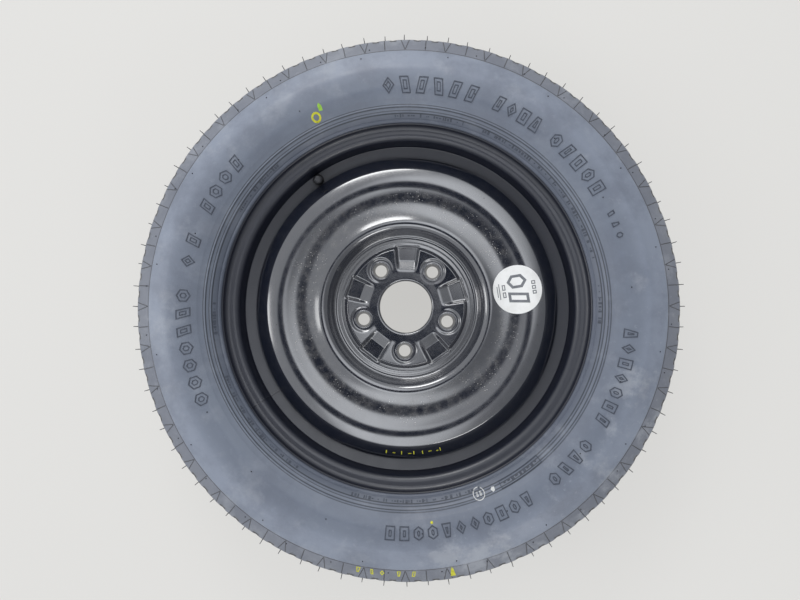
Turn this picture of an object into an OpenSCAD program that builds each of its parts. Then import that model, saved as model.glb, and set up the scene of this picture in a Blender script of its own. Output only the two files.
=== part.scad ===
// Space saver spare wheel: a narrow tyre on a pressed steel wheel, lying on its inner side.
// The origin is the middle of the hub seat, and +Z points out of the car.

/* [Tyre] */
// Outer diameter of the tyre at the middle of its tread
tyre_d = 696; // [685:1:705]
// Width of the inflated tyre across its sidewalls
tyre_w = 167; // [160:1:172]
// Width of the tread from shoulder to shoulder
tread_w = 121; // [114:1:124]
// Fall of the tread from its middle to its shoulders
crown_drop = 4; // [2:0.5:6]
// Rubber thickness of the sidewalls
sidewall_t = 7; // [5:0.5:8]
// Rubber thickness under the tread
tread_t = 12; // [10:0.5:14]
// Depth of the tread grooves
groove_depth = 5; // [2:0.5:6]
// Width of the tread grooves
groove_w = 5; // [3:0.5:7]
// Distance between the tread grooves
groove_gap = 27; // [22:1:30]
// Number of notches round each shoulder
notch_count = 80; // [40:40:120]
// Width of a shoulder notch
notch_w = 2.6; // [1.5:0.1:4]
// Reach of a shoulder notch into the tread
notch_reach = 9; // [6:0.5:12]
// Width of the foot of each bead
bead_w = 20; // [17:0.5:22]

/* [Rim] */
// Diameter of the bead seats
bead_seat_d = 436.6; // [432:0.1:440]
// Width of the rim between its flanges
rim_w = 101.6; // [95:0.1:108]
// Height of the flanges over the bead seats
flange_h = 16.7; // [15:0.1:18]
// Width of a flange's lip
flange_lip = 11; // [10:0.5:13]
// Thickness of the rolled band
rim_t = 2.4; // [2:0.1:2.8]
// Depth of the well under the bead seats
well_depth = 19.4; // [18:0.1:21]
// Width of the floor of the well
well_w = 41; // [38:1:44]
// Slope of the ledge that carries the valve
ledge_slope = 14; // [11:0.5:16]
// Distance from the middle of the rim out to the hub seat
wheel_offset = 33; // [30:0.5:36]

/* [Disc] */
// Thickness of the pressed disc
disc_t = 3.6; // [3:0.1:4]
// Diameter of the hub bore
hub_bore_d = 67.1; // [60:0.1:70]
// Height of the land round the hub bore over the pads
land_rise = 4.5; // [4:0.1:5]
// Distance from the circle of nut seats out to the ridge round them
ridge_gap = 18.35; // [17:0.05:20]
// Distance from the ridge out to the inner raised ring
ring_w = 28.5; // [27:0.5:30]
// Distance from the outer raised ring out to the edge where the disc turns down
crown_w = 17; // [15:0.5:18]
// Width of the sloping wall from that edge down to the rim
skirt_w = 19.5; // [17:0.5:22]
// Height of the raised rings over the hub seat
crest_h = 28; // [26:0.5:30]
// Depth of the dip between the raised rings
dip_depth = 9; // [6:0.5:11]
// Length of the flange inside the rim, at the lands
flange_len = 34; // [31:0.5:36]
// Length of the flange between the lands
flange_short = 27; // [24:0.5:29]
// Gap between the rim and the flange between the lands
land_gap = 2; // [1:0.1:2.5]
// Part of a quarter turn that a land takes
land_arc = 52; // [44:1:60]

/* [Wheel nuts] */
// Diameter of the circle of nut seats
lug_circle_d = 114.3; // [112:0.1:115]
// Number of nut seats
lug_count = 5; // [5:1:5]
// Diameter of the stud holes
lug_hole_d = 15; // [13:0.1:16]
// Full angle of the nut seat cones
seat_cone = 60; // [50:1:66]
// Diameter of the flat spot round a nut seat
spot_d = 32.6; // [30:0.1:34]
// Length of a hub pad's slope
pad_slope = 13; // [11:0.5:15]
// Length of a hub pad's floor
pad_floor = 17.5; // [14:0.5:20]
// Half width of a hub pad's floor at its outer end
pad_half_w = 12; // [10:0.5:12.5]

/* [Valve] */
// Direction of the valve from the middle of the wheel
valve_angle = 124.5; // [90:0.5:160]
// Diameter of the valve hole in the rim
valve_hole_d = 11.5; // [11:0.1:12]
// Length of the valve outside the rim
valve_len = 33; // [31:0.5:35]
// Diameter of the cap thread
cap_thread_d = 7.7; // [7.5:0.1:7.9]
// Diameter of the dust cap
cap_d = 9.8; // [9.5:0.1:10.5]
// Number of ribs round the dust cap
cap_ribs = 20; // [14:1:24]
// Diameter of the core thread
core_thread_d = 5.2; // [5:0.05:5.4]
// Diameter of the pin of the valve core
pin_d = 0.9; // [0.7:0.05:1]
// Number of turns of the core spring
spring_turns = 5; // [4:1:7]
// Diameter of the core spring's wire
spring_wire_d = 0.26; // [0.2:0.01:0.3]

/* [Label] */
// Diameter of the round label
label_d = 62; // [50:1:66]
// Thickness of the label
label_t = 0.3; // [0.2:0.05:0.5]
// Distance from the outer raised ring in to the middle of the label
label_in = 16.5; // [14:0.5:19]
// Direction of the label from the middle of the wheel
label_angle = 8.6; // [0:0.1:90]

/* [Hidden] */
$fn = 96;

// Clearances: moulded rubber on steel, a running thread, and pieces of the core
fit_gap = 0.1;
core_gap = 0.08;

// Middle of the rim and its main radii
rim_mid_z = -wheel_offset;
seat_r = bead_seat_d / 2;
lip_r = seat_r + flange_h;
well_r = seat_r - well_depth;
well_in_r = well_r - rim_t;
half_rim = rim_w / 2;
seat_taper = 5;
seat_end = half_rim - 24.5;
seat_end_r = seat_r - (half_rim - seat_end) * tan(seat_taper);
ledge_inner = seat_end - (seat_end_r - well_r) * tan(ledge_slope);
heel_round = 6;
flange_round = 9;

// Radii of the disc; the rings and their corners draw together on a smaller wheel
ridge_r = lug_circle_d / 2 + ridge_gap;
turn_r = well_in_r - skirt_w;
span = turn_r - ridge_r;
wave = min(1, span / 100);
crest_in_r = ridge_r + min(ring_w, 0.3 * span);
crest_out_r = turn_r - min(crown_w, 0.18 * span);
dip_r = crest_in_r + 0.482 * (crest_out_r - crest_in_r);
label_r = crest_out_r - label_in * wave;
bore_r = hub_bore_d / 2;
pad_floor_r = ridge_r + 2 - pad_floor;
pad_in_r = max(pad_floor_r - pad_slope, bore_r + 7);

// Heights of the disc's outer face over the hub seat
land_z = land_rise + disc_t;
ridge_z = land_z + 3;
ring_z = land_z - 2;
dip_z = crest_h - min(dip_depth, 0.165 * (crest_out_r - crest_in_r));
turn_z = crest_h - 4;
collar_low = 0;
skirt_z = 4;

// Valve: where its axis meets the outer face of the ledge, and heights along it
valve_r = well_r + 7.6;
valve_z = rim_mid_z + seat_end - (seat_end_r - valve_r) * tan(ledge_slope) + rim_t / cos(ledge_slope);
stem_r = cap_thread_d / 2;
stem_low = -7;
rubber_top = valve_len - 11;
cap_low = rubber_top + 1.2;
cap_top = valve_len + 3;
core_top = valve_len - 1.6;
plug_low = valve_len - 5.4;
barrel_low = plug_low - 8;
chamber_low = barrel_low - 4;
chamber_r = core_thread_d / 2 - 0.45;
barrel_r = chamber_r - 0.3;
barrel_in_r = barrel_r - 0.55;
collar_z = plug_low - 1.4;

function unit(v) = v / norm(v);
function cut(v) = max(-1, min(1, v));
function back(list) = [for (i = [len(list) - 1 : -1 : 0]) list[i]];

// A corner of a path, turned into an arc of its own radius
function corner(a, p, b) =
    let (
        here = [p[0], p[1]],
        u = unit([a[0], a[1]] - here),
        v = unit([b[0], b[1]] - here),
        half = acos(cut(u * v)) / 2,
        mid = here + unit(u + v) * p[2] / sin(half),
        start = here + u * p[2] / tan(half) - mid,
        turn = 180 - 2 * half,
        side = u[0] * v[1] - u[1] * v[0] > 0 ? -1 : 1,
        steps = max(2, ceil(turn / 12)),
        first = atan2(start[1], start[0])
    )
    [for (i = [0 : steps]) mid + p[2] * [cos(first + side * turn * i / steps),
                                         sin(first + side * turn * i / steps)]];

function rounded(points) = [
    for (i = [0 : len(points) - 1])
        each (i == 0 || i == len(points) - 1 || points[i][2] == 0)
            ? [[points[i][0], points[i][1]]]
            : corner(points[i - 1], points[i], points[i + 1])
];

// A path moved sideways by d, to its right
function normal(a, b) = unit([b[1] - a[1], a[0] - b[0]]);
function beside(path, d) = [
    for (i = [0 : len(path) - 1])
        let (
            before = i == 0 ? normal(path[0], path[1]) : normal(path[i - 1], path[i]),
            after = i == len(path) - 1 ? before : normal(path[i], path[i + 1])
        )
        path[i] + (before + after) * d / (1 + before * after)
];
function sheet(path, t) = concat(path, back(beside(path, t)));

// Tyre, drawn from the middle of the rim; one half of its outer and of its inner line
tyre_r = tyre_d / 2;
half_tyre = tyre_w / 2;
wall_h = tyre_r - lip_r;
soft = min(1, wall_h / 113);
shoulder_r = tyre_r - crown_drop;
step_r = tyre_r - 0.2062 * wall_h;
widest_r = tyre_r - 0.5487 * wall_h;
flank_a = [lip_r + 4.5, half_rim + flange_lip + 3.4];
flank_b = [lip_r + 0.1947 * wall_h, half_tyre - 6.5];
flank_in = flank_a + 0.15 * (flank_b - flank_a) + 1.15 * sidewall_t * normal(flank_a, flank_b);
tyre_half_out = rounded([
    [seat_r - bead_w * tan(seat_taper) + fit_gap, half_rim - fit_gap - bead_w, 0],
    [seat_r + fit_gap, half_rim - fit_gap, heel_round - fit_gap],
    [lip_r + fit_gap, half_rim - fit_gap, flange_round + fit_gap],
    [lip_r + fit_gap, half_rim + flange_lip, 1],
    [flank_a[0], flank_a[1], 2],
    [flank_b[0], flank_b[1], 12 * soft],
    [widest_r - 14 * soft, half_tyre, 26 * soft],
    [widest_r + 14 * soft, half_tyre, 26 * soft],
    [step_r, half_tyre - 11, 14 * soft],
    [shoulder_r + 0.5, tread_w / 2, 8],
    [tyre_r - 0.4, tread_w / 4, 60],
    [tyre_r, 0, 0]
]);
tyre_half_in = rounded([
    [seat_r - bead_w * tan(seat_taper) + fit_gap, half_rim - fit_gap - bead_w, 0],
    [seat_r + 8, half_rim - bead_w + 3, 8],
    [flank_in[0], flank_in[1], 18 * soft],
    [widest_r - 12 * soft, half_tyre - sidewall_t, 26 * soft],
    [widest_r + 12 * soft, half_tyre - sidewall_t, 26 * soft],
    [step_r - 1, half_tyre - sidewall_t - 14, 14 * soft],
    [tyre_r - tread_t - 1, tread_w / 2 - 22, 20 * soft],
    [tyre_r - tread_t, 0, 0]
]);

function below(path) = [for (p = path) [p[0], -p[1]]];

module tyre_section() {
    polygon(concat(tyre_half_out, back(below(tyre_half_out)), below(tyre_half_in), back(tyre_half_in)));
}

module tyre() {
    color("#3c4048")
    translate([0, 0, rim_mid_z])
    difference() {
        rotate_extrude()
        difference() {
            tyre_section();
            for (side = [-1, 0, 1])
                translate([tyre_r - groove_depth, side * groove_gap - groove_w / 2])
                square([groove_depth + 5, groove_w]);
        }
        for (i = [0 : notch_count - 1], end = [0, 1])
            mirror([0, 0, end])
            rotate(i * 360 / notch_count)
            translate([shoulder_r - groove_depth, -notch_w / 2, tread_w / 2 - notch_reach])
            cube([groove_depth + 10, notch_w, notch_reach + 10]);
    }
}

// Rim, along its tyre side from the outer lip to the inner lip
rim_path = rounded([
    [lip_r, half_rim + flange_lip, 0],
    [lip_r, half_rim, flange_round],
    [seat_r, half_rim, heel_round],
    [seat_end_r, seat_end, 4.4],
    [well_r, ledge_inner, 3],
    [well_r, ledge_inner - well_w, 8],
    [seat_end_r, -seat_end, 5],
    [seat_r, -half_rim, heel_round],
    [lip_r, -half_rim, flange_round],
    [lip_r, -half_rim - flange_lip, 0]
]);

module at_valve() {
    rotate(valve_angle)
    translate([valve_r, 0, valve_z])
    rotate([0, -ledge_slope, 0])
    children();
}

module rim() {
    color("#23272e")
    difference() {
        translate([0, 0, rim_mid_z])
        rotate_extrude()
        polygon(sheet(rim_path, rim_t));
        at_valve()
        translate([0, 0, -rim_t - 3])
        cylinder(d = valve_hole_d, h = rim_t + 6);
    }
}

// Disc, along its outer face from the hub bore to the turn; no corner is tighter than the sheet
function bend(r) = max(disc_t + 0.6, r * wave);
face_path = [
    [bore_r, collar_low, 0],
    [bore_r, land_z, 4.6],
    [pad_in_r, land_z, 20],
    [ridge_r, ridge_z, bend(5)],
    [ridge_r + 6.5 * wave, ring_z, bend(5)],
    [ridge_r + 12.5 * wave, ring_z + 0.4, 8 * wave],
    [ridge_r + 18.5 * wave, ring_z, bend(5)],
    [crest_in_r - 2 * wave, crest_h, bend(7)],
    [dip_r, dip_z, 30 * wave],
    [crest_out_r, crest_h, 30 * wave],
    [turn_r, turn_z, bend(8)]
];
disc_path = concat(face_path, [
    [well_in_r, skirt_z, 9],
    [well_in_r, skirt_z - flange_len, 0]
]);
land_low = skirt_z - flange_len;

module lug_places() {
    for (i = [0 : lug_count - 1])
        rotate(valve_angle + i * 360 / lug_count)
        translate([lug_circle_d / 2, 0, 0])
        children();
}

module pad_places() {
    for (i = [0 : lug_count - 1])
        rotate(valve_angle + (i + 0.5) * 360 / lug_count)
        children();
}

// The space over a pad: its floor, a long slope to the hub bore and three steep sides
pad_out_r = ridge_r + 2;
pad_top = ridge_z + 3;
module pad_space() {
    low = disc_t;
    slope = (pad_floor_r - pad_in_r) / land_rise;
    rise = pad_top - low;
    lean = 0.6 * rise;
    in_w = pad_half_w - 2;
    points = [
        [pad_floor_r, -in_w, low], [pad_out_r, -pad_half_w, low],
        [pad_out_r, pad_half_w, low], [pad_floor_r, in_w, low],
        [pad_floor_r - slope * rise, -in_w - lean, pad_top], [pad_out_r + lean, -pad_half_w - lean, pad_top],
        [pad_out_r + lean, pad_half_w + lean, pad_top], [pad_floor_r - slope * rise, in_w + lean, pad_top]
    ];
    polyhedron(points, [
        [0, 1, 2], [0, 2, 3], [4, 7, 6], [4, 6, 5],
        [0, 4, 5], [0, 5, 1], [1, 5, 6], [1, 6, 2],
        [2, 6, 7], [2, 7, 3], [3, 7, 4], [3, 4, 0]
    ]);
}

// The metal under a pad, down to the hub seat
module pad_metal() {
    rotate([90, 0, 0])
    linear_extrude(2 * (pad_half_w + disc_t), center = true)
    polygon([
        [pad_in_r - 3, land_z - 3], [pad_in_r - 3, land_z - disc_t + 0.2], [pad_floor_r - 1, 0],
        [pad_out_r + 2, 0], [pad_out_r + 5, ring_z - disc_t + 0.5], [pad_out_r + 5, ring_z - 1],
        [ridge_r, ridge_z - 2]
    ]);
}

boss_low = 0.6;
seat_low = 2.2;
spot_z = land_z - 0.05;
lug_r = lug_hole_d / 2;
seat_top_r = lug_r + (spot_z - seat_low) * tan(seat_cone / 2);

// Between the lands the flange is set back from the rim and is shorter
module land_reliefs() {
    for (i = [0 : 3]) {
        rotate(valve_angle + land_arc / 2 + 90 * i)
        rotate_extrude(angle = 90 - land_arc)
        translate([well_in_r - land_gap, land_low - 1])
        square([land_gap + 5, skirt_z + 3 - land_low]);
        rotate(valve_angle + land_arc / 2 + 90 * i + 3)
        rotate_extrude(angle = 84 - land_arc)
        translate([well_in_r - 10, land_low - 1])
        square([20, flange_len - flange_short + 1]);
    }
}

module disc() {
    color("#1f2227")
    difference() {
        union() {
            rotate_extrude()
            polygon(sheet(rounded(disc_path), disc_t));
            pad_places() pad_metal();
            lug_places() {
                translate([0, 0, land_z - disc_t - 0.5])
                cylinder(d = spot_d + 3, h = disc_t + 0.3);
                translate([0, 0, boss_low])
                cylinder(r1 = lug_r + 3, r2 = seat_top_r + 2, h = spot_z - boss_low - 1);
            }
        }
        land_reliefs();
        pad_places() pad_space();
        lug_places() {
            translate([0, 0, spot_z])
            cylinder(d = spot_d, h = 9);
            translate([0, 0, seat_low])
            cylinder(r1 = lug_r, r2 = seat_top_r, h = spot_z - seat_low + 0.01);
            translate([0, 0, -1])
            cylinder(r = lug_r, h = seat_low + 1.5);
        }
    }
}

// A weld bead under the end of a land, on the hidden side
weld_arc = 24;
weld_leg = 4.5;
module weld(i) {
    color("#2b2c2e")
    rotate(valve_angle + 90 * i - weld_arc / 2)
    rotate_extrude(angle = weld_arc)
    polygon(rounded([
        [well_in_r, land_low, 0],
        [well_in_r - disc_t, land_low, 0],
        [well_in_r - disc_t + 0.6, land_low - weld_leg + 0.8, 2.4],
        [well_in_r, land_low - weld_leg, 0]
    ]));
}

// Valve: all its pieces are turned about its own axis, from the ledge's outer face upwards
module turned(points) {
    at_valve()
    rotate_extrude()
    polygon(rounded(points));
}

rubber_r = valve_hole_d / 2 - fit_gap;
module valve_body() {
    color("#26282b")
    turned([
        [stem_r - 0.9, -8.5, 0],
        [6.4, -8.5, 1.5],
        [7.2, -rim_t - fit_gap, 0.8],
        [rubber_r, -rim_t - fit_gap, 0],
        [rubber_r, fit_gap, 0],
        [6, fit_gap, 0],
        [7.3, 2.6, 1],
        [7.1, 5, 2],
        [5.4, 12.5, 6],
        [4.9, rubber_top, 0.6],
        [stem_r, rubber_top, 0],
        [stem_r, rubber_top - 8, 0],
        [stem_r - 0.9, rubber_top - 8, 0]
    ]);
}

module valve_stem() {
    color("#a58b52")
    turned([
        [1.3, stem_low - 1.5, 0],
        [stem_r - 0.9, stem_low - 1.5, 0],
        [stem_r - 0.9, rubber_top - 8, 0],
        [stem_r, rubber_top - 8, 0],
        [stem_r, valve_len - 0.5, 0],
        [stem_r - 0.5, valve_len, 0],
        [core_thread_d / 2, valve_len, 0],
        [core_thread_d / 2, plug_low, 0],
        [chamber_r, plug_low, 0],
        [chamber_r, chamber_low, 0],
        [1.3, chamber_low, 0]
    ]);
}

pin_r = pin_d / 2;
module core_plug() {
    color("#c2a766")
    difference() {
        turned([
            [pin_r + core_gap, plug_low + 0.05, 0],
            [core_thread_d / 2 - core_gap, plug_low + 0.05, 0],
            [core_thread_d / 2 - core_gap, core_top - 1.3, 0],
            [pin_r + 0.9, core_top, 0],
            [pin_r + core_gap, core_top, 0]
        ]);
        // Two flats take the fork of the core tool
        at_valve()
        for (side = [-1, 1])
            translate([side * (pin_r + 1.5), 0, core_top])
            cube([1.2, core_thread_d, 2.6], center = true);
    }
}

module core_barrel() {
    color("#c9b176")
    turned([
        [barrel_in_r - 0.45, barrel_low, 0],
        [barrel_r, barrel_low, 0],
        [barrel_r, barrel_low + 3, 0],
        [barrel_r - 0.3, barrel_low + 3, 0],
        [barrel_r - 0.3, barrel_low + 5.4, 0],
        [barrel_r, barrel_low + 5.4, 0],
        [barrel_r, plug_low, 0],
        [barrel_in_r, plug_low, 0],
        [barrel_in_r, barrel_low + 0.7, 0],
        [barrel_in_r - 0.45, barrel_low + 0.7, 0]
    ]);
}

module core_gasket() {
    color("#b3362c")
    turned([
        [barrel_r - 0.3, barrel_low + 3, 0],
        [chamber_r - core_gap, barrel_low + 3, 0],
        [chamber_r - core_gap / 2, barrel_low + 5.4, 0],
        [barrel_r - 0.3, barrel_low + 5.4, 0]
    ]);
}

spring_r = (pin_r + barrel_in_r) / 2;
module core_pin() {
    color("#d2c08a")
    turned([
        [0, barrel_low - 2.2, 0],
        [pin_r, barrel_low - 2.2, 0],
        [pin_r, collar_z, 0],
        [barrel_in_r - core_gap, collar_z, 0],
        [barrel_in_r - core_gap, collar_z + 0.5, 0],
        [pin_r, collar_z + 0.5, 0],
        [pin_r, valve_len - 0.9, 0.2],
        [0, valve_len - 0.8, 0]
    ]);
}

// The spring is one tube swept along its helix, between the barrel's foot and the pin's collar
module core_spring() {
    low = barrel_low + 0.7 + spring_wire_d / 2 + 0.02;
    high = collar_z - spring_wire_d / 2 - 0.02;
    sides = 6;
    steps = spring_turns * 14;
    points = [
        for (i = [0 : steps], k = [0 : sides - 1])
            let (
                turn = 360 * spring_turns * i / steps,
                r = spring_r + spring_wire_d / 2 * cos(360 * k / sides),
                z = low + (high - low) * i / steps + spring_wire_d / 2 * sin(360 * k / sides)
            )
            [r * cos(turn), r * sin(turn), z]
    ];
    walls = [
        for (i = [0 : steps - 1], k = [0 : sides - 1])
            let (a = i * sides + k, b = i * sides + (k + 1) % sides)
            each [[a, a + sides, b], [b, a + sides, b + sides]]
    ];
    first = [for (k = [1 : sides - 2]) [0, k, k + 1]];
    last = [for (k = [1 : sides - 2]) [steps * sides, steps * sides + k + 1, steps * sides + k]];
    color("#cfd3d6")
    at_valve()
    polyhedron(points, concat(walls, first, last));
}

module core_cup() {
    color("#c9b176")
    turned([
        [pin_r, barrel_low - 2.2, 0],
        [barrel_r - 0.25, barrel_low - 2.2, 0],
        [barrel_r - 0.25, barrel_low - 0.6, 0],
        [pin_r, barrel_low - 0.6, 0]
    ]);
}

module core_seal() {
    color("#2a2a2a")
    turned([
        [pin_r, barrel_low - 0.6, 0],
        [barrel_r - 0.25, barrel_low - 0.6, 0],
        [barrel_r - 0.25, barrel_low - 0.02, 0],
        [pin_r, barrel_low - 0.02, 0]
    ]);
}

cap_in_r = stem_r + fit_gap;
seal_t = 1;
module cap_seal() {
    color("#4a4a4a")
    turned([
        [0, valve_len + 0.05, 0],
        [cap_in_r - 0.1, valve_len + 0.05, 0],
        [cap_in_r - 0.1, valve_len + 0.05 + seal_t, 0],
        [0, valve_len + 0.05 + seal_t, 0]
    ]);
}

module valve_cap() {
    rib_r = 0.45;
    body_r = cap_d / 2 - rib_r;
    color("#2e3033")
    difference() {
        union() {
            turned([
                [0, cap_low, 0],
                [body_r, cap_low, 0.3],
                [body_r, cap_top - 1.6, 0.8],
                [body_r - 1.4, cap_top, 0.8],
                [0, cap_top, 0]
            ]);
            at_valve()
            for (i = [0 : cap_ribs - 1])
                rotate(i * 360 / cap_ribs)
                translate([body_r, 0, cap_low + 1.2])
                cylinder(r = rib_r, h = cap_top - cap_low - 3.4, $fn = 8);
        }
        at_valve()
        translate([0, 0, cap_low - 1])
        cylinder(r = cap_in_r, h = valve_len + 0.06 + seal_t - cap_low + 1);
    }
}

// The label follows the disc's outer face, which it sticks to
module speed_label() {
    face = rounded(face_path);
    near = [for (p = face) if (p[0] > label_r - label_d / 2 - 4 && p[0] < turn_r + 2 && p[1] > ring_z + 4) p];
    color("white")
    intersection() {
        rotate_extrude()
        polygon(concat(near, back(beside(near, -label_t))));
        rotate(label_angle)
        translate([label_r, 0, 0])
        cylinder(d = label_d, h = crest_h + 20);
    }
}

tyre();
rim();
disc();
weld(0);  // weld_1
weld(1);  // weld_2
weld(2);  // weld_3
weld(3);  // weld_4
valve_body();
valve_stem();
core_plug();
core_barrel();
core_gasket();
core_pin();
core_spring();
core_cup();
core_seal();
cap_seal();
valve_cap();
speed_label();
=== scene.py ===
"""A space saver spare wheel, lying on its inner side and seen from above."""

import math
import random
from functools import partial

import bmesh
import bpy
from bpy.props import FloatProperty, FloatVectorProperty, IntProperty, PointerProperty
from mathutils import Matrix, Vector


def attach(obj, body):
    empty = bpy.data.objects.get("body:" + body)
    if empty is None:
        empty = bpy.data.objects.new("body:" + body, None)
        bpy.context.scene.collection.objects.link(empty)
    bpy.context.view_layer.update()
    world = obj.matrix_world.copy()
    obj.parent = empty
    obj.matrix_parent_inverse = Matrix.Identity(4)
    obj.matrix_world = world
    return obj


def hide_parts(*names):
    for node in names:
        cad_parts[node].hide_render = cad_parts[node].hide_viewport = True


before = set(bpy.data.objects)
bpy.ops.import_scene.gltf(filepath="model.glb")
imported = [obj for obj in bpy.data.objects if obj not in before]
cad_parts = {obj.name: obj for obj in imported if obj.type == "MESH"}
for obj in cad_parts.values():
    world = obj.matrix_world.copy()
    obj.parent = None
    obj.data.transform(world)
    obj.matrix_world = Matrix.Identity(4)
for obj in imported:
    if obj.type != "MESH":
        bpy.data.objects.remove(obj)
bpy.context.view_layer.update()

bl_info = {
    "name": "Space Saver Spare Wheel",
    "version": (1, 0, 0),
    "blender": (4, 5, 0),
    "location": "View3D > Sidebar > Spare Wheel",
    "description": "Dresses the spare wheel's frame with its rubber, paint, label and marks",
    "category": "Object",
}

MM = 0.001

# Sizes shared with the frame, in millimetres, with the hub seat at zero height
MIDDLE = -33.0
SEAT_R = 218.3
HALF_RIM = 50.8
LIP_R = 235.0
WELL_R = 198.9
RIM_T = 2.4
DISC_T = 3.6
INSIDE_R = WELL_R - RIM_T
AZIMUTH = math.radians(124.5)
LEDGE_SLOPE = math.radians(14.0)
VALVE_R = 206.5
VALVE_Z = -6.64
VALVE_LENGTH = 33.0
THREAD_PITCH = 0.79375
LABEL_R = 143.5
LABEL_ANGLE = math.radians(8.6)
STUD_R = 57.15
BULGE = 83.3

# Places on the tyre: radii in millimetres, and turns in degrees
BAND_R = 276.5
NARROW_BAND_R = 242.4
SHOULDER_R = 325.0
VENT_R = 343.4
VENT_SIDE = 57.6
SIPE_PITCH = 9.0
NOTCH_TURN = 2.6
RIM_SEAM = -146.7

# The photograph's camera, fitted to the wheel's outlines
FOCAL_PX = 601
PHOTO_WIDTH_PX = 800
FILM_MM = 36
CAMERA_PLACE = (0.0148, -0.0198, 0.7888)
CAMERA_TILT = (math.radians(2.10), math.radians(1.63), 0)


# Helpers for profiles


def rounded(points, step=6.0, tight=15.0):
    """Turns each corner (r, z, radius) into an arc, with longer steps for a radius under 1 mm."""
    path = []
    for i, (r, z, radius) in enumerate(points):
        if i in (0, len(points) - 1) or radius == 0:
            path.append(Vector((r, z)))
            continue
        here = Vector((r, z))
        u = (Vector(points[i - 1][:2]) - here).normalized()
        v = (Vector(points[i + 1][:2]) - here).normalized()
        half = u.angle(v) / 2
        middle = here + (u + v).normalized() * radius / math.sin(half)
        spoke = here + u * radius / math.tan(half) - middle
        turn = math.pi - 2 * half
        if u.x * v.y - u.y * v.x > 0:
            turn = -turn
        least, longest = (1, max(step, tight)) if radius < 1 else (2, step)
        count = max(least, math.ceil(abs(math.degrees(turn)) / longest))
        for k in range(count + 1):
            path.append(middle + Matrix.Rotation(turn * k / count, 2) @ spoke)
    return path


def filled(path, longest):
    """Adds points so that no stretch of the path is longer than asked."""
    out = [path[0]]
    for a, b in zip(path, path[1:]):
        count = max(1, math.ceil((b - a).length / longest))
        out += [a.lerp(b, k / count) for k in range(1, count + 1)]
    return out


def beside(path, gap):
    """The path moved sideways to its right."""
    sides = [Vector(((b - a).y, -(b - a).x)).normalized() for a, b in zip(path, path[1:])]
    out = []
    for i, p in enumerate(path):
        one = sides[max(i - 1, 0)]
        two = sides[min(i, len(sides) - 1)]
        out.append(p + (one + two) * gap / (1 + one.dot(two)))
    return out


def height_on(path, r):
    """Height of a path at a distance from the wheel's axis."""
    for a, b in zip(path, path[1:]):
        low, high = sorted((a.x, b.x))
        if low <= r <= high and high > low:
            return a.y + (b.y - a.y) * (r - a.x) / (b.x - a.x)
    return path[-1].y


def ease(low, high, value):
    """Rises smoothly from 0 to 1 between two values."""
    t = min(1.0, max(0.0, (value - low) / (high - low)))
    return t * t * (3 - 2 * t)


def softer_least(a, b, blend):
    """The smaller of two heights, with a rounded change between them."""
    h = max(blend - abs(a - b), 0.0) / blend
    return min(a, b) - h * h * blend / 4


# Helpers for pieces


def turned(path, steps, closed=True):
    """Spins a profile of (r, z) about the wheel's axis; steps is a multiple of 16."""
    bm = bmesh.new()
    verts = [bm.verts.new((p[0] * MM, 0, p[1] * MM)) for p in path]
    pairs = list(zip(verts, verts[1:]))
    if closed:
        pairs.append((verts[-1], verts[0]))
    edges = [bm.edges.new(pair) for pair in pairs]
    sector = math.tau / 16
    bmesh.ops.spin(
        bm,
        geom=verts + edges,
        cent=(0, 0, 0),
        axis=(0, 0, 1),
        angle=sector,
        steps=steps // 16,
        use_duplicate=False,
    )
    # The sector is doubled four times, which is quicker than one long spin
    for _ in range(4):
        copy = bmesh.ops.duplicate(bm, geom=bm.verts[:] + bm.edges[:] + bm.faces[:])["geom"]
        bmesh.ops.rotate(
            bm,
            cent=(0, 0, 0),
            matrix=Matrix.Rotation(sector, 3, "Z"),
            verts=[g for g in copy if isinstance(g, bmesh.types.BMVert)],
        )
        sector *= 2
    bmesh.ops.remove_doubles(bm, verts=bm.verts, dist=2e-6)
    return bm


def on_valve():
    """The place of the valve, whose axis leans towards the wheel's."""
    return (
        Matrix.Rotation(AZIMUTH, 4, "Z")
        @ Matrix.Translation((VALVE_R * MM, 0, VALVE_Z * MM))
        @ Matrix.Rotation(-LEDGE_SLOPE, 4, "Y")
    )


def piece(name, bm, material, body="wheel", stands_for=(), crease=38):
    """Makes an object of a bmesh, shades it, and lets it ride on its body."""
    bmesh.ops.recalc_face_normals(bm, faces=bm.faces)
    mesh = bpy.data.meshes.new(name)
    bm.to_mesh(mesh)
    bm.free()
    mesh.materials.append(material)
    mesh.shade_smooth()
    mesh.set_sharp_from_angle(angle=math.radians(crease))
    obj = bpy.data.objects.new(name, mesh)
    bpy.context.scene.collection.objects.link(obj)
    if stands_for:
        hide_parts(*stands_for)
    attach(obj, body)
    return obj


def add_peg(bm, place, low, high, length, sides):
    """Adds a closed cone: the radii of its two ends and its length in millimetres, and its sides."""
    bmesh.ops.create_cone(
        bm,
        cap_ends=True,
        segments=sides,
        radius1=low * MM,
        radius2=high * MM,
        depth=length * MM,
        matrix=place,
    )


def bore_through(obj, place, radius, depth):
    """Cuts a round hole of a radius and depth in millimetres."""
    bm = bmesh.new()
    add_peg(bm, place, radius, radius, depth, 64)
    mesh = bpy.data.meshes.new("hole tool")
    bm.to_mesh(mesh)
    bm.free()
    tool = bpy.data.objects.new("hole tool", mesh)
    bpy.context.scene.collection.objects.link(tool)
    cut = obj.modifiers.new("hole", "BOOLEAN")
    cut.operation = "DIFFERENCE"
    cut.solver = "EXACT"
    cut.object = tool
    bpy.context.view_layer.update()
    made = bpy.data.meshes.new_from_object(obj.evaluated_get(bpy.context.evaluated_depsgraph_get()))
    obj.modifiers.clear()
    old = obj.data
    obj.data = made
    made.name = old.name
    bpy.data.meshes.remove(old)
    bpy.data.objects.remove(tool)


# Helpers for materials


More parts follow.
